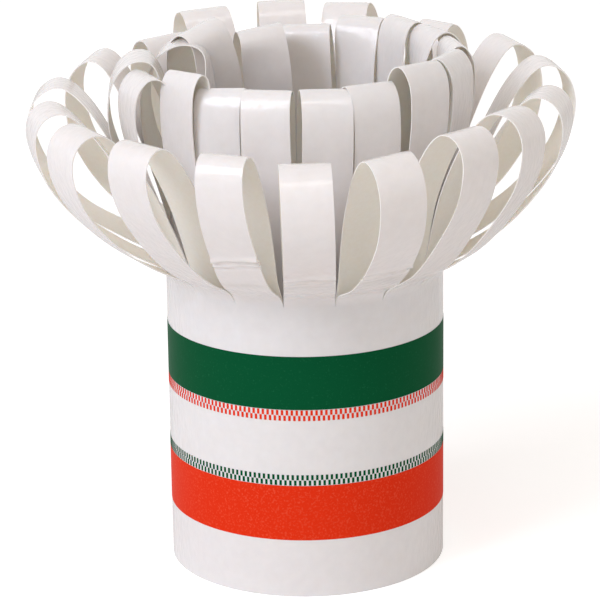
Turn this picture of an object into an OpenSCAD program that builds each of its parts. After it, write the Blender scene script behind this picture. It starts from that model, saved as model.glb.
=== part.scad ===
// Paper frill: a printed paper sleeve that slips over the end of a bone or a stick,
// with a crown of curled loops on top.
// The frill is one long strip of paper. It is folded along its upper edge, slit through
// the fold into narrow loops, and wound twice round. The outer turn of loops flares out
// and the inner turn stands up.
// Millimetres, +Z up, the origin on the sleeve's axis at its foot. The front faces -Y.

/* [Sleeve] */
// Outer radius of the wound sleeve
sleeve_r = 15.4; // [12:0.1:20]
// Thickness of the wound wall, two turns of folded paper
wall = 0.5; // [0.4:0.05:0.8]
// Height from the foot to the lower ends of the slits
sleeve_h = 33; // [31:0.5:45]

/* [Loops] */
// Thickness of the paper
paper_t = 0.125; // [0.1:0.005:0.15]
// Number of loops in one turn
loops_per_turn = 17.5; // [14:0.5:20]
// Number of loops in the whole strip
loop_count = 35; // [30:1:40]
// Gap that a slit leaves between two loops
slit_gap = 0.1; // [0.05:0.05:0.3]
// How far the loops of the outer turn reach outwards
outer_reach = 14.9; // [8:0.1:18]
// Height of the loops of the outer turn above the slits
outer_rise = 19.4; // [15:0.1:25]
// Thickness of the loops of the inner turn, from front to back
inner_depth = 3.7; // [2.5:0.1:5]
// Height of the loops of the inner turn above the slits
inner_rise = 24; // [18:0.1:30]
// How much further in the outer loops' tops stand at the back
back_lean = 5; // [0:0.1:7]
// How much higher the outer loops rise at the back
outer_back_rise = 5; // [0:0.1:6]
// How much higher the inner loops rise at the back
inner_back_rise = 1; // [0:0.1:3]

/* [Print] */
// Thickness of the printed ink
ink_t = 0.05; // [0.02:0.01:0.1]
// Height of the red band's lower edge above the foot
red_from = 6.6; // [4:0.1:8]
// Height of the red band
red_h = 6.3; // [5:0.1:7]
// Height of the green band's upper edge above the foot
green_top = 27.6; // [26:0.1:30]
// Height of the green band
green_h = 6; // [5:0.1:7]
// Height of each line of fine checks beside a band
check_h = 1.3; // [1:0.1:1.5]

/* [Hidden] */
$fn = 120;

bore_r = sleeve_r - wall;
pitch = 360 / loops_per_turn;
strip_w = 2 * PI * sleeve_r / loops_per_turn - slit_gap;
// Where the strip starts, as an angle from +X, at the left of the back
first_angle = 148.2;
// Number of loops in the outer turn. The next loop leads from one turn to the other.
outer_count = floor(loops_per_turn);
// From this loop on, each sits a little closer to the one before, in degrees, up to the
// first loop of the inner turn
closer_from = 9;
closer = 0.5;
// The outer loops' feet are centred on the wall's outer face, and the inner loops' feet
// just inside the bore, so that the flat strips of the two turns pass each other
inner_foot_inset = 0.04;
outer_foot_r = sleeve_r;
inner_foot_r = bore_r - inner_foot_inset;
// How far below the slits' ends the loops are rooted in the wall
root_depth = 0.3;
// Straight pieces between two points of a loop's outline
steps = 2;
// Angle left free between two loops of the inner turn, which lean in and are mitred there
mitre_gap = 0.6;
// How far the mitre reaches out from the axis
mitre_reach = sleeve_r + outer_reach;

// Outlines of the two kinds of loop, from the foot of the outer leg over the top to the
// foot of the inner leg, as shares of the loop's depth outwards and of its height
outer_shape = [[0, 0], [0.09, 0.07], [0.34, 0.18], [0.64, 0.34], [0.9, 0.56], [1, 0.79],
               [0.93, 0.95], [0.73, 1], [0.5, 0.87], [0.24, 0.57], [0.04, 0.21], [0, 0]];
inner_shape = [[0, 0], [0.11, 0.21], [0.24, 0.42], [0.36, 0.6], [0.43, 0.78], [0.32, 0.93],
               [-0.08, 1], [-0.46, 0.95], [-0.57, 0.76], [-0.47, 0.5], [-0.2, 0.2], [0, 0]];

// How far the top of each loop of the outer turn leans outwards from its even place, as
// shares of the outer loops' reach
lean = [-0.03, -0.06, 0, 0, 0, 0.03, 0.06, 0.06, -0.12, -0.1, -0.03, -0.03, 0, -0.03, -0.03, 0, -0.03, 0];

function mix(a, b, t) = a + (b - a) * t;

// Point at the share t of the span from b to c of a smooth curve through a, b, c and d
function on_curve(a, b, c, d, t) =
    b + ((c - a) * t + (2 * a - 5 * b + 4 * c - d) * t * t + (3 * b - a - 3 * c + d) * t * t * t) / 2;

function curve(points) =
    let (last = len(points) - 1)
    concat([for (i = [0 : last - 1], k = [0 : steps - 1])
                on_curve(points[max(i - 1, 0)], points[i], points[i + 1], points[min(i + 2, last)], k / steps)],
           [points[last]]);

// The same line moved sideways, to its right
function beside(line, distance) =
    let (last = len(line) - 1)
    [for (i = [0 : last])
        let (along = line[min(i + 1, last)] - line[max(i - 1, 0)])
        line[i] + distance / norm(along) * [along.y, -along.x]];

// Share of the inner turn's shape in loop i: none, half in the loop between, then all
function inward(i) = i < outer_count ? 0 : i == outer_count ? 0.5 : 1;
function nearer(i) = closer * max(0, min(i, outer_count) - closer_from);
function loop_angle(i) = first_angle + i * pitch - nearer(i);
function foot_r(i) = mix(outer_foot_r, inner_foot_r, inward(i));
// The loop between the turns is turned about its own foot, so that it leads inwards
function lead_in(i) = i == outer_count ? asin((outer_foot_r - inner_foot_r) / strip_w) : 0;
// 0 at the front, 1 at the back, and less than half at the sides
function back_share(angle) = pow((1 + sin(angle)) / 2, 1.5);

// Middle line of loop i's paper, with its legs side by side at the foot
function loop_line(i) =
    let (inner = inward(i),
         back = back_share(loop_angle(i)),
         outer_size = [outer_reach, outer_rise + back * outer_back_rise],
         inner_size = [inner_depth, inner_rise + back * inner_back_rise],
         shift = (1 - inner) * (lean[i % len(lean)] * outer_reach - back * back_lean),
         last = len(outer_shape) - 1)
    curve([for (p = [0 : last])
        let (foot = p == 0 ? paper_t / 2 : p == last ? -paper_t / 2 : 0,
             high = mix(outer_shape[p].y, inner_shape[p].y, inner))
        [mix(outer_shape[p].x * outer_size.x, inner_shape[p].x * inner_size.x, inner) + shift * high * high + foot,
         high * mix(outer_size.y, inner_size.y, inner)]]);

// The line's points that lie above its foot
function above_foot(line) = [for (p = line) if (p.y > paper_t / 2) p];

module loop_outline(line) {
    difference() {
        polygon(concat([[paper_t, -root_depth]], above_foot(beside(line, paper_t / 2)), [[-paper_t, -root_depth]]));
        polygon(above_foot(beside(line, -paper_t / 2)));
    }
}

module loop(i) {
    translate([foot_r(i), 0, sleeve_h])
        rotate([90, 0, lead_in(i)])
            linear_extrude(strip_w, center = true)
                loop_outline(loop_line(i));
}

// The wedge of space that one loop has to itself
module mitre() {
    half_w = mitre_reach * tan((pitch - mitre_gap) / 2);
    translate([0, 0, sleeve_h - wall])
        linear_extrude(inner_rise + outer_rise)
            polygon([[0, 0], [mitre_reach, -half_w], [mitre_reach, half_w]]);
}

module placed_loop(i) {
    rotate([0, 0, loop_angle(i)])
        if (inward(i) == 1)
            intersection() {
                loop(i);
                mitre();
            }
        else
            loop(i);
}

module paper_frill() {
    color([0.94, 0.92, 0.91])
        difference() {
            union() {
                cylinder(h = sleeve_h, r = sleeve_r);
                for (i = [0 : loop_count - 1]) placed_loop(i);
            }
            translate([0, 0, -wall])
                cylinder(h = sleeve_h + wall, r = bore_r);
        }
}

// A printed band, as a thin ring of ink on the sleeve
module ink(from, height) {
    translate([0, 0, from])
        difference() {
            cylinder(h = height, r = sleeve_r + ink_t);
            translate([0, 0, -wall])
                cylinder(h = height + 2 * wall, r = sleeve_r);
        }
}

module red_band() {
    color([0.91, 0.2, 0.08]) ink(red_from, red_h);
}

module green_check_line() {
    color([0.2, 0.5, 0.35]) ink(red_from + red_h, check_h);
}

module red_check_line() {
    color([0.92, 0.45, 0.4]) ink(green_top - green_h - check_h, check_h);
}

module green_band() {
    color([0, 0.39, 0.2]) ink(green_top - green_h, green_h);
}

paper_frill();
red_band();
green_check_line();
red_check_line();
green_band();
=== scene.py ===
"""Paper frill: a printed paper sleeve with two tiers of curled loops.

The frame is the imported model. Sizes and places are in millimetres here, and turn into metres
where they go to Blender. The sleeve's axis is Z, its foot is at zero, and the front faces -Y.
The whole sleeve and its loops are one strip of folded paper, wound twice round. A place
along the strip is counted in loops from its outer end.
"""
import math

import bmesh
import bpy
import numpy as np
from mathutils import Matrix, Vector


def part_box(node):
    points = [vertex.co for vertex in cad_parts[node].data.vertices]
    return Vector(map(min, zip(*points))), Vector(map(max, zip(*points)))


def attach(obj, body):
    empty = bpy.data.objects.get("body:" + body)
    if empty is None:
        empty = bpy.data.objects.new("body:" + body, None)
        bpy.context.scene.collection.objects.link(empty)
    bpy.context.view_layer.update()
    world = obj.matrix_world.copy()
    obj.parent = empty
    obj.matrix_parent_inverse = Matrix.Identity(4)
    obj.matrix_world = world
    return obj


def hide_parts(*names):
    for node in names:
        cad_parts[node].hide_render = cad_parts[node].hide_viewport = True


MM = 0.001
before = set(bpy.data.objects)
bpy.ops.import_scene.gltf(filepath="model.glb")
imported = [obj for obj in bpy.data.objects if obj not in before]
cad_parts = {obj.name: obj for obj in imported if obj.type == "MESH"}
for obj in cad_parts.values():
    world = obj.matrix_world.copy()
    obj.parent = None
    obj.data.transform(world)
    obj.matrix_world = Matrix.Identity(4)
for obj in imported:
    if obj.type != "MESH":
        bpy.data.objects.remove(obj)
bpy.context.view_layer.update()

# Sleeve: outer radius, height of the slits' ends, one ply of the wound wall, the paper itself
SLEEVE_R = 15.4
SLEEVE_H = 33.0
PLY = 0.125
PAPER_T = 0.11

# Strip and its turns, as in the source. From loop CLOSER_FROM on, each sits CLOSER degrees
# nearer to the one before, up to the first loop of the inner turn.
LOOPS_PER_TURN = 17.5
LOOP_COUNT = 35
PITCH = 360 / LOOPS_PER_TURN
FIRST_ANGLE = 148.2
OUTER_COUNT = 17
CLOSER_FROM = 9
CLOSER = 0.5
STRIP_W = 5.4

# The strip steps in under its own outer end from this place, over this many loops
STEP_FROM = 16.9
STEP_LOOPS = 0.6

# Outlines of the two kinds of loop, as shares of depth outwards and of height. A loop's
# length runs from its foot to point TIP.
OUTER_SHAPE = [(0, 0), (0.06, 0.075), (0.34, 0.18), (0.64, 0.34), (0.9, 0.56), (1, 0.79),
               (0.93, 0.95), (0.73, 1), (0.5, 0.87), (0.24, 0.57), (0.04, 0.21), (0, 0)]
INNER_SHAPE = [(0, 0), (0.11, 0.21), (0.24, 0.42), (0.36, 0.6), (0.43, 0.78), (0.32, 0.93),
               (-0.08, 1), (-0.46, 0.95), (-0.57, 0.76), (-0.47, 0.5), (-0.2, 0.2), (0, 0)]
TIP = 6
# Depth and height of each kind, how far the outer tops stand in at the back, and how much
# higher each kind rises there
OUTER_REACH = 14.9
OUTER_RISE = 19.4
INNER_DEPTH = 3.7
INNER_RISE = 24.0
BACK_LEAN = 5.0
OUTER_BACK_RISE = 5.0
INNER_BACK_RISE = 1.0

# Height above the slits at which a loop has its whole lean, for each tier. A loop that leans
# inwards has the outer tier's.
OUTER_LEAN_H = 8
INNER_LEAN_H = 18
# How far the loops of each tier stand off from the other tier, and the height above the
# slits from which they do
CLEAR_OUT = 0.15
CLEAR_IN = 0.3
CLEAR_H = 3
# Heights above the slits at which a strip tilts as far as its loop leans along the ring and
# has its loop's twist, and the share of the twist that it never goes past
SWAY_H = 10
TWIST_H = 20
TWIST_MOST = 1.2
# Twist of the inner tier's inner legs in degrees, so that each lies over the next, the height
# above the slits at which it is whole, and how far below the loop's top it fades
SHINGLE = 11
SHINGLE_H = 2
SHINGLE_TOP = 6

# How each loop differs from the even shape: outward lean in degrees, length and fatness as
# shares, lean along the ring in degrees, and twist in degrees
LOOPS = [
    (6, 1.0, 0.95, 4, -15), (8, 1.0, 0.95, 0, -12), (3, 1.0, 0.8, 3, -7), (1, 1.0, 0.85, 3, -4),
    (-2, 1.0, 0.75, 2, 2), (-9, 0.9, 0.7, -1, 8), (-4, 0.9, 0.95, -2, 8), (-2, 0.95, 0.95, -4, -8),
    (-8, 0.95, 0.8, 0, -2), (-7, 0.95, 0.85, 2, 5), (0, 1.0, 0.8, -2, 12), (5, 1.05, 0.9, 0, 4),
    (7, 1.05, 0.95, -3, 9), (10, 1.05, 0.8, 2, 14), (2, 1.05, 0.95, 3, 3), (-2, 1.05, 0.9, 2, 0),
    (-2, 1.05, 0.7, 5, 13), (3, 1.0, 0.8, 4, 12), (-17, 1.05, 1.35, 1, -18), (-9, 1.05, 1.1, 2, -7),
    (2, 1.0, 1.1, 0, -7), (0, 1.0, 0.8, -3, -5), (-5, 0.95, 0.7, -5, -9), (-3, 0.97, 0.9, -2, 4),
    (-1, 0.98, 1.1, 1, 2), (0, 0.99, 1.0, 0, 4), (3, 1.05, 1.05, 1, 8), (5, 1.05, 1.1, 0, 6),
    (5, 1.05, 1.0, 0, -10), (3, 1.05, 1.3, 0, -6), (2, 1.05, 1.3, 0, 9), (3, 1.02, 1.3, 1, -1),
    (0, 0.98, 1.0, 3, 5), (-15, 1.05, 1.4, 6, -10), (-15, 1.08, 1.4, 13, -8)]
# Share of the inner turn's shape in the loops near the step between the turns and in the
# last ones, at the strip's inner end
BETWEEN = {17: 0.4, 18: 0.4, 19: 0.4, 20: 0.8, 33: 0.8, 34: 0.6}

# Creases across the outer legs: distance from the slit's end, and slant across the strip
CREASES = {5: [(9.6, 0.3), (8.8, 0.5)], 6: [(9.3, 0.4), (8.4, 0.2)], 7: [(9.5, 0.6), (10.3, 0.2)]}
# A crease's depth, how much fainter the next one is, its half width, and how far it wavers
CREASE_DEEP = 0.3
CREASE_FADE = 0.7
CREASE_W = 0.22
CREASE_WAVER = 0.12
# The ridge beside a crease: its share of the depth, its distance and its half width
RIDGE_SHARE = 0.7
RIDGE_AT = 0.45
RIDGE_W = 0.35

# Places of the columns across a strip, closer at its cut edges
COLUMNS = np.array([-0.5, -0.47, -0.4, -0.24, -0.08, 0.08, 0.24, 0.4, 0.47, 0.5])
# How far the cut edges curl in, and the share of the strip's width from which they do
EDGE_CURL = 0.04
CURL_FROM = 0.4
# Steps between the rows of points up the sleeve, round a loop and down the lining
SLEEVE_ROWS = 12
LOOP_ROWS = 96
LINING_ROWS = 6
# A creased loop has close rows between these distances from its foot and even ones in the
# last part of its inner leg. The steps are counted in each of its four stretches.
CREASED_FROM = 6
CREASED_TO = 15
LAST_PART = 5
CREASED_ROWS = (12, 72, 49, 10)
# The strip's bow, from its place in the round sleeve, flattens out over this length
FLATTEN = 4.0
# Points closer than this are one, and a fold sharper than this stays sharp, in degrees
WELD = 0.002
SHARP = 40

# Print: the ink's thickness and how far it stands off the paper, steps round a band, ticks
# in a row of a check line and a tick's share of its pitch, bare edges of a check line, and
# half the gap between its two rows
INK_T = 0.02
INK_SEAT = 0.002
BAND_STEPS = 280
TICKS = 184
TICK_SHARE = 0.5
TICK_MARGIN = 0.05
ROW_GAP = 0.02

# How far red, green and blue light go into the paper, as shares of twice its thickness
THROUGH_PAPER = (1, 0.8, 0.65)

# Floor: half its side, how far it lies below the foot, and the glow that makes it white
FLOOR_HALF = 1500
FLOOR_DROP = 0.02
FLOOR_GLOW = 0.4
# The point that the lamps face
LIT = (0, 0, 35)


def mix(a, b, t):
    return a + (b - a) * t


def smooth(t):
    t = np.clip(t, 0, 1)
    return t * t * (3 - 2 * t)


def back_share(angle):
    """0 at the front, 1 at the back, and less than half at the sides."""
    return ((1 + math.sin(math.radians(angle))) / 2) ** 1.5


def curve(points, steps=16):
    """A smooth curve through the points, Catmull-Rom."""
    p = np.array(points, float)
    last = len(p) - 1
    out = []
    for i in range(last):
        a, b, c, d = p[max(i - 1, 0)], p[i], p[i + 1], p[min(i + 2, last)]
        for t in np.arange(steps) / steps:
            out.append(b + ((c - a) * t + (2 * a - 5 * b + 4 * c - d) * t * t
                            + (3 * b - a - 3 * c + d) * t ** 3) / 2)
    out.append(p[last])
    return np.array(out)


# The strip and its loops

def inward(i):
    """Share of the inner turn's shape in loop i."""
    return BETWEEN.get(i, 0.0 if i < OUTER_COUNT else 1.0)


def loop_angle(i):
    return FIRST_ANGLE + i * PITCH - CLOSER * max(0, min(i, OUTER_COUNT) - CLOSER_FROM)


def place_angle(place):
    """Angle in degrees of a place along the strip. Loop i takes up the places from i to i + 1."""
    centres = np.arange(-1, LOOP_COUNT + 1)
    return np.interp(place, centres + 0.5, [loop_angle(i) for i in centres])


def turn_end():
    """Place along the strip that is one turn on from its outer end, where the print stops."""
    places = np.arange(LOOP_COUNT + 1)
    return float(np.interp(place_angle(0) + 360, place_angle(places), places))


def wound_r(place):
    """Outer radius of the wound strip at a place along it."""
    return SLEEVE_R - 2 * PLY * smooth((place - STEP_FROM) / STEP_LOOPS)


def on_sleeve(place, r_shift, z):
    a = np.radians(place_angle(place))
    r = wound_r(place) + r_shift
    return np.column_stack([r * np.cos(a), r * np.sin(a), np.full(len(a), z)])


def loop_profile(i):
    """Points (outwards, up) of loop i's outside, from the slit's end round to the lining."""
    lean, length, fat = LOOPS[i][:3]
    inner, back = inward(i), back_share(loop_angle(i))
    outer_shape, inner_shape = np.array(OUTER_SHAPE), np.array(INNER_SHAPE)
    x = mix(outer_shape[:, 0] * OUTER_REACH, inner_shape[:, 0] * INNER_DEPTH, inner)
    z = mix(outer_shape[:, 1] * (OUTER_RISE + back * OUTER_BACK_RISE),
            inner_shape[:, 1] * (INNER_RISE + back * INNER_BACK_RISE), inner)
    x -= (1 - inner) * back * BACK_LEAN * mix(outer_shape[:, 1], inner_shape[:, 1], inner) ** 2
    points = np.column_stack([x, z])
    axis = points[TIP] / np.hypot(*points[TIP])
    across = np.array([axis[1], -axis[0]])
    points = np.outer(points @ axis * length, axis) + np.outer(points @ across * fat, across)
    lean_h = OUTER_LEAN_H if lean < 0 else mix(OUTER_LEAN_H, INNER_LEAN_H, inner)
    turn = math.radians(lean) * smooth(points[:, 1] / lean_h)
    x, z = points.T.copy()
    points[:, 0] = x * np.cos(turn) + z * np.sin(turn)
    points[:, 1] = z * np.cos(turn) - x * np.sin(turn)
    points[:, 0] += mix(CLEAR_OUT, -CLEAR_IN, inner) * smooth(points[:, 1] / CLEAR_H)
    points[-1, 0] -= 2 * PLY
    return curve(points)


def row_places(i, length):
    """Distances of the rows along loop i, closer together where it is creased."""
    if i not in CREASES:
        return np.linspace(0, length, LOOP_ROWS + 1)
    ends = [0, CREASED_FROM, CREASED_TO, length - LAST_PART, length]
    stretches = [np.linspace(start, end, steps, endpoint=False)
                 for start, end, steps in zip(ends, ends[1:], CREASED_ROWS)]
    return np.append(np.concatenate(stretches), length)


def profile_rows(i):
    """Loop i's rows: their distances along its profile, their points and their directions."""
    line = loop_profile(i)
    walked = np.concatenate([[0], np.cumsum(np.hypot(*np.diff(line, axis=0).T))])
    along = row_places(i, walked[-1])
    line = np.column_stack([np.interp(along, walked, line[:, k]) for k in range(2)])
    tangent = np.gradient(line, along, axis=0)
    return along, line, tangent / np.hypot(*tangent.T)[:, None]


def crease_depth(i, along):
    """How far the paper stands in or out at its creases, for each row and column."""
    depth = np.zeros((len(along), len(COLUMNS)))
    for number, (middle, slant) in enumerate(CREASES.get(i, [])):
        # The factors in the sines only set the waves of one crease apart from the next one's
        waver = CREASE_WAVER * np.sin(11 * COLUMNS + 2 * i + 3 * number)
        off = along[:, None] - (middle + slant * 2 * COLUMNS + waver)[None, :]
        deep = CREASE_DEEP / (1 + CREASE_FADE * number) * (1 + 0.5 * np.sin(5 * COLUMNS + i))
        ridge = RIDGE_SHARE * np.exp(-((off - RIDGE_AT) / RIDGE_W) ** 2)
        depth += deep[None, :] * (ridge - np.exp(-(off / CREASE_W) ** 2))
    return depth


def leg_turn(i, height, top, outer_leg):
    """How far loop i's strip is turned about its own length, at a height above the slits."""
    twist = math.radians(LOOPS[i][4])
    turned = twist * min(height / TWIST_H, TWIST_MOST)
    if outer_leg:
        return turned
    shingled = mix(twist, math.radians(SHINGLE), inward(i)) * smooth(height / SHINGLE_H)
    return mix(turned, shingled, smooth((top - height) / SHINGLE_TOP))


def loop_rows(i, place):
    """Rows of points of loop i, from the slit's end over its top and down to the lining."""
    along, line, tangent = profile_rows(i)
    length = along[-1]
    height = np.maximum(line[:, 1], 0)
    sway = math.radians(LOOPS[i][3])
    creased = crease_depth(i, along)
    curl = -EDGE_CURL * smooth((np.abs(COLUMNS) - CURL_FROM) / (0.5 - CURL_FROM))

    angle = math.radians(place_angle(i + 0.5))
    out_dir = np.array([math.cos(angle), math.sin(angle), 0])
    side_dir = np.array([-math.sin(angle), math.cos(angle), 0])
    up = np.array([0, 0, 1.0])
    foot_r = wound_r(i + 0.5)
    rows = []
    for k, walked in enumerate(along):
        outer_leg = walked < length / 2
        flat = smooth(min(walked, length - walked) / FLATTEN)
        shift = 0 if outer_leg else -2 * PLY
        foot = on_sleeve(place, shift, SLEEVE_H)
        bow = (foot - (foot_r + shift) * out_dir) @ out_dir
        side = foot @ side_dir
        normal = out_dir * tangent[k, 1] - up * tangent[k, 0]
        bow_dir = mix(out_dir, normal if outer_leg else -normal, flat)
        tilt = sway * smooth(height[k] / SWAY_H)
        turned = leg_turn(i, height[k], height.max(), outer_leg)
        width_dir = (math.cos(turned) * math.cos(tilt) * side_dir
                     + math.sin(turned) * out_dir - math.sin(tilt) * up)
        middle = ((foot_r + line[k, 0]) * out_dir + (SLEEVE_H + line[k, 1]) * up
                  + math.tan(sway) * height[k] * side_dir)
        across = mix(side[:, None] * side_dir, np.outer(COLUMNS * STRIP_W, width_dir), flat)
        stand = creased[k] + curl * flat
        rows.append(middle + across + np.outer(bow * (1 - flat), bow_dir)
                    + np.outer(stand, normal))
    return rows


def strip_points(i):
    """Grid of points of loop i's strip: up the sleeve, round the loop and down the lining."""
    place = i + 0.5 + COLUMNS
    sleeve = [on_sleeve(place, 0, SLEEVE_H * k / SLEEVE_ROWS) for k in range(SLEEVE_ROWS)]
    lining = [on_sleeve(place, -2 * PLY, SLEEVE_H * (1 - k / LINING_ROWS))
              for k in range(1, LINING_ROWS + 1)]
    return np.array(sleeve + loop_rows(i, place) + lining)


# Meshes

def mesh_object(name, vertices, faces, materials=()):
    mesh = bpy.data.meshes.new(name)
    mesh.from_pydata([tuple(v) for v in np.asarray(vertices) * MM], [], faces)
    mesh.update()
    obj = bpy.data.objects.new(name, mesh)
    bpy.context.scene.collection.objects.link(obj)
    for m in materials:
        mesh.materials.append(m)
    return obj


def grid_faces(rows, columns, first=0):
    faces = []
    for r in range(rows - 1):
        for c in range(columns - 1):
            a = first + r * columns + c
            faces.append((a, a + 1, a + columns + 1, a + columns))
    return faces


def weld(obj):
    bm = bmesh.new()
    bm.from_mesh(obj.data)
    bmesh.ops.remove_doubles(bm, verts=bm.verts, dist=WELD * MM)
    bm.to_mesh(obj.data)
    bm.free()


def apply_modifiers(obj):
    """Replaces the object's mesh by the one its modifiers make."""
    graph = bpy.context.evaluated_depsgraph_get()
    mesh = bpy.data.meshes.new_from_object(obj.evaluated_get(graph))
    obj.modifiers.clear()
    obj.data = mesh


def crisp(obj):
    obj.data.shade_smooth()
    obj.data.set_sharp_from_angle(angle=math.radians(SHARP))


# Materials

def new_material(name, colour, roughness, specular=0.5, coat=0.0, coat_roughness=0.1):
    m = bpy.data.materials.new(name)
    m.use_nodes = True
    shader = m.node_tree.nodes["Principled BSDF"]
    shader.inputs["Base Color"].default_value = (*colour, 1)
    shader.inputs["Roughness"].default_value = roughness
    shader.inputs["Specular IOR Level"].default_value = specular
    shader.inputs["Coat Weight"].default_value = coat
    shader.inputs["Coat Roughness"].default_value = coat_roughness
    return m, shader


def add_noise(m, scale, detail=2, squeeze=(1, 1, 1)):
    """Noise in the object's own space. Its scale counts its cells in a metre."""
    nodes, links = m.node_tree.nodes, m.node_tree.links
    where = nodes.get("Texture Coordinate") or nodes.new("ShaderNodeTexCoord")
    place = nodes.new("ShaderNodeMapping")
    place.inputs["Scale"].default_value = squeeze
    noise = nodes.new("ShaderNodeTexNoise")
    noise.inputs["Scale"].default_value = scale
    noise.inputs["Detail"].default_value = detail
    links.new(where.outputs["Object"], place.inputs["Vector"])
    links.new(place.outputs["Vector"], noise.inputs["Vector"])
    return noise


def see_through(shader, share):
    """Thin paper lets some light through to its other side."""
    shader.inputs["Subsurface Weight"].default_value = share
    shader.inputs["Subsurface Radius"].default_value = THROUGH_PAPER
    shader.inputs["Subsurface Scale"].default_value = 2 * PAPER_T * MM


def ramp(owner, source, low, high, low_colour, high_colour):
    """Turns a number into a colour: one up to low, the other from high on."""
    nodes, links = owner.node_tree.nodes, owner.node_tree.links
    node = nodes.new("ShaderNodeValToRGB")
    node.color_ramp.elements[0].position = low
    node.color_ramp.elements[1].position = high
    node.color_ramp.elements[0].color = (*low_colour, 1)
    node.color_ramp.elements[1].color = (*high_colour, 1)
    links.new(source, node.inputs["Fac"])
    return node.outputs["Color"]


def add_mottle(m, shader, noise, low, high, low_colour, high_colour):
    colour = ramp(m, noise.outputs["Fac"], low, high, low_colour, high_colour)
    m.node_tree.links.new(colour, shader.inputs["Base Color"])


def add_bump(m, shader, noise, strength, height, socket="Normal"):
    """Small relief from a noise, its height in millimetres."""
    nodes, links = m.node_tree.nodes, m.node_tree.links
    bump = nodes.new("ShaderNodeBump")
    bump.inputs["Strength"].default_value = strength
    bump.inputs["Distance"].default_value = height * MM
    links.new(noise.outputs["Fac"], bump.inputs["Height"])
    links.new(bump.outputs["Normal"], shader.inputs[socket])


def coated_paper():
    m, shader = new_material("coated_paper", (0.78, 0.75, 0.74), roughness=0.5, specular=0.4,
                             coat=0.8, coat_roughness=0.06)
    see_through(shader, 0.5)
    cloud = add_noise(m, scale=900, detail=4)
    add_mottle(m, shader, cloud, 0.3, 0.7, (0.765, 0.735, 0.725), (0.795, 0.765, 0.755))
    ripple = add_noise(m, scale=1400)
    add_bump(m, shader, ripple, strength=0.2, height=0.03)
    streaks = add_noise(m, scale=1600, detail=3, squeeze=(1, 1, 0.5))
    add_bump(m, shader, streaks, strength=1.0, height=0.08, socket="Coat Normal")
    return m


def plain_paper():
    m, shader = new_material("plain_paper", (0.97, 0.92, 0.85), roughness=0.85, specular=0.2)
    see_through(shader, 0.7)
    fibre = add_noise(m, scale=2500, detail=3)
    add_mottle(m, shader, fibre, 0.3, 0.7, (0.96, 0.905, 0.83), (0.98, 0.935, 0.87))
    add_bump(m, shader, fibre, strength=0.3, height=0.04)
    return m


def cut_edge():
    m, shader = new_material("cut_edge", (0.94, 0.92, 0.90), roughness=0.7, specular=0.3)
    fibre = add_noise(m, scale=3000)
    add_bump(m, shader, fibre, strength=0.3, height=0.03)
    return m


def ink(name, colour, speck, speck_from):
    """Ink with fine specks, where the grain is above speck_from."""
    m, shader = new_material(name, colour, roughness=0.45, specular=0.03)
    grain = add_noise(m, scale=4500)
    add_mottle(m, shader, grain, speck_from, speck_from + 0.2, colour, speck)
    ripple = add_noise(m, scale=1400)
    add_bump(m, shader, ripple, strength=0.3, height=0.03)
    return m


# Pieces

def paper_sheet(outside, inside, cut):
    """The whole strip, from the materials of its printed side, its other side and its edges."""
    points, faces, first = [], [], 0
    for i in range(LOOP_COUNT):
        grid = strip_points(i)
        faces += grid_faces(len(grid), len(COLUMNS), first)
        first += len(grid) * len(COLUMNS)
        points.append(grid.reshape(-1, 3))
    obj = mesh_object("paper_sheet", np.concatenate(points), faces, [outside, inside, cut])
    weld(obj)
    thick = obj.modifiers.new("thickness", "SOLIDIFY")
    thick.thickness = PAPER_T * MM
    thick.offset = -1
    thick.material_offset = 1
    thick.material_offset_rim = 2
    apply_modifiers(obj)
    crisp(obj)
    return obj


def ink_block(places, low, high):
    """Points and faces of a piece of print along the given places of the strip."""
    count = len(places)
    rings = [on_sleeve(places, shift, z) for z in (low, high) for shift in (INK_T, INK_SEAT)]
    faces = []
    for k in range(count - 1):
        lo_out, lo_in, hi_out, hi_in = (q * count + k for q in range(4))
        faces += [(lo_out, lo_out + 1, hi_out + 1, hi_out), (lo_in + 1, lo_in, hi_in, hi_in + 1),
                  (hi_out, hi_out + 1, hi_in + 1, hi_in), (lo_out + 1, lo_out, lo_in, lo_in + 1)]
    last = count - 1
    faces += [(0, 2 * count, 3 * count, count),
              (last, count + last, 3 * count + last, 2 * count + last)]
    return np.concatenate(rings), faces


def band(name, low, high, material):
    """Print round the outer turn of the sleeve, from the strip's end round to where it steps in."""
    points, faces = ink_block(np.linspace(0, turn_end(), BAND_STEPS + 1), low, high)
    obj = mesh_object(name, points, faces, [material])
    crisp(obj)
    return obj


def check_line(name, low, high, material):
    """Two staggered rows of fine ticks."""
    points, faces, first = [], [], 0
    middle = (low + high) / 2
    rows = ((low + TICK_MARGIN, middle - ROW_GAP), (middle + ROW_GAP, high - TICK_MARGIN))
    pitch = turn_end() / TICKS
    for row, (z0, z1) in enumerate(rows):
        for k in range(TICKS):
            start = (k + 0.5 * row) * pitch
            block, block_faces = ink_block(np.array([start, start + TICK_SHARE * pitch]), z0, z1)
            points.append(block)
            faces += [tuple(v + first for v in face) for face in block_faces]
            first += len(block)
    return mesh_object(name, np.concatenate(points), faces, [material])


def heights(node):
    """A node's lowest and highest z, from the frame."""
    low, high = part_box(node)
    return low[2] / MM, high[2] / MM


sheet = paper_sheet(coated_paper(), plain_paper(), cut_edge())
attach(sheet, "root")
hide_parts("paper_frill")

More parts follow.
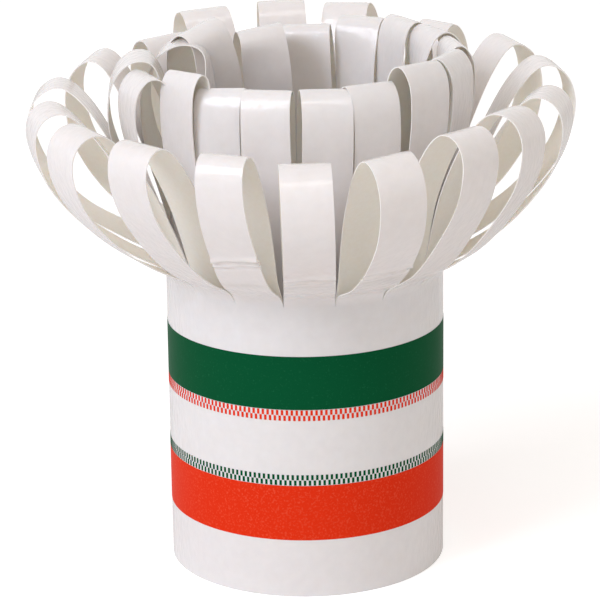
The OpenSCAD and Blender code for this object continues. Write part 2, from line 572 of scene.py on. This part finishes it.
red_ink = ink("red_ink", (0.72, 0.031, 0.006), (0.76, 0.07, 0.03), 0.52)
green_ink = ink("green_ink", (0.001, 0.076, 0.026), (0.01, 0.11, 0.045), 0.6)
for name, node, slot, maker, material in (
        ("red_band_print", "red_band", "red_ink", band, red_ink),
        ("green_band_print", "green_band", "green_ink", band, green_ink),
        ("red_ticks", "red_check_line", "red_check_ink", check_line, red_ink),
        ("green_ticks", "green_check_line", "green_check_ink", check_line, green_ink)):
    piece = maker(name, *heights(node), material)
    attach(piece, "root")
    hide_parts(node)


# Stage

def white_floor():
    """Pale floor that takes the object's shadow and glows to white for the camera."""
    m, shader = new_material("floor_white", (0.88, 0.88, 0.88), roughness=0.8)
    nodes, links = m.node_tree.nodes, m.node_tree.links
    path = nodes.new("ShaderNodeLightPath")
    glow = nodes.new("ShaderNodeMath")
    glow.operation = "MULTIPLY"
    glow.inputs[1].default_value = FLOOR_GLOW
    shader.inputs["Emission Color"].default_value = (1, 1, 1, 1)
    links.new(path.outputs["Is Camera Ray"], glow.inputs[0])
    links.new(glow.outputs["Value"], shader.inputs["Emission Strength"])
    signs = ((-1, -1), (1, -1), (1, 1), (-1, 1))
    corners = [(x * FLOOR_HALF, y * FLOOR_HALF, -FLOOR_DROP) for x, y in signs]
    floor = mesh_object("floor", corners, [(0, 1, 2, 3)], [m])


def white_world(light, tint):
    """Soft light from all round, and plain white where the camera or a reflection sees it."""
    world = bpy.data.worlds.new("world")
    bpy.context.scene.world = world
    world.use_nodes = True
    nodes, links = world.node_tree.nodes, world.node_tree.links
    background = nodes["Background"]
    path = nodes.new("ShaderNodeLightPath")
    seen = nodes.new("ShaderNodeMath")
    seen.operation = "ADD"
    seen.use_clamp = True
    links.new(path.outputs["Is Camera Ray"], seen.inputs[0])
    links.new(path.outputs["Is Glossy Ray"], seen.inputs[1])
    through = nodes.new("ShaderNodeMath")
    through.operation = "MAXIMUM"
    links.new(seen.outputs["Value"], through.inputs[0])
    links.new(path.outputs["Is Transmission Ray"], through.inputs[1])
    level = nodes.new("ShaderNodeMapRange")
    level.inputs["To Min"].default_value = light
    level.inputs["To Max"].default_value = 1.0
    links.new(through.outputs["Value"], level.inputs["Value"])
    links.new(level.outputs["Result"], background.inputs["Strength"])
    colour = ramp(world, through.outputs["Value"], 0, 1, tint, (1, 1, 1))
    links.new(colour, background.inputs["Color"])


def lamp(name, place, size, watts, colour):
    data = bpy.data.lights.new(name, "AREA")
    data.shape = "RECTANGLE"
    data.size, data.size_y = size[0] * MM, size[1] * MM
    data.energy = watts
    data.color = colour
    obj = bpy.data.objects.new(name, data)
    bpy.context.scene.collection.objects.link(obj)
    obj.location = Vector(place) * MM
    obj.rotation_euler = (Vector(LIT) - Vector(place)).to_track_quat("-Z", "Y").to_euler()


def camera():
    """The photograph's view: lens and place worked out from the sleeve's printed bands."""
    elevation, roll, distance = math.radians(17.14), math.radians(-0.75), 334.5
    look_at = Vector((-0.573, 0, 29.23))
    data = bpy.data.cameras.new("camera")
    data.sensor_width = 36
    data.lens = 180
    obj = bpy.data.objects.new("camera", data)
    bpy.context.scene.collection.objects.link(obj)
    forward = Vector((0, math.cos(elevation), -math.sin(elevation)))
    place = Matrix.Translation((look_at - forward * distance) * MM)
    turn = forward.to_track_quat("-Z", "Y").to_matrix().to_4x4()
    obj.matrix_world = place @ turn @ Matrix.Rotation(roll, 4, "Z")
    bpy.context.scene.camera = obj


white_floor()
white_world(light=0.59, tint=(1.0, 0.94, 0.89))
lamp("overhead", place=(0, -380, 600), size=(700, 120), watts=1.0, colour=(1.0, 0.95, 0.91))
lamp("key", place=(-450, -350, 420), size=(300, 300), watts=2.2, colour=(0.84, 0.88, 1.0))
camera()
bpy.context.scene.view_settings.view_transform = "Standard"
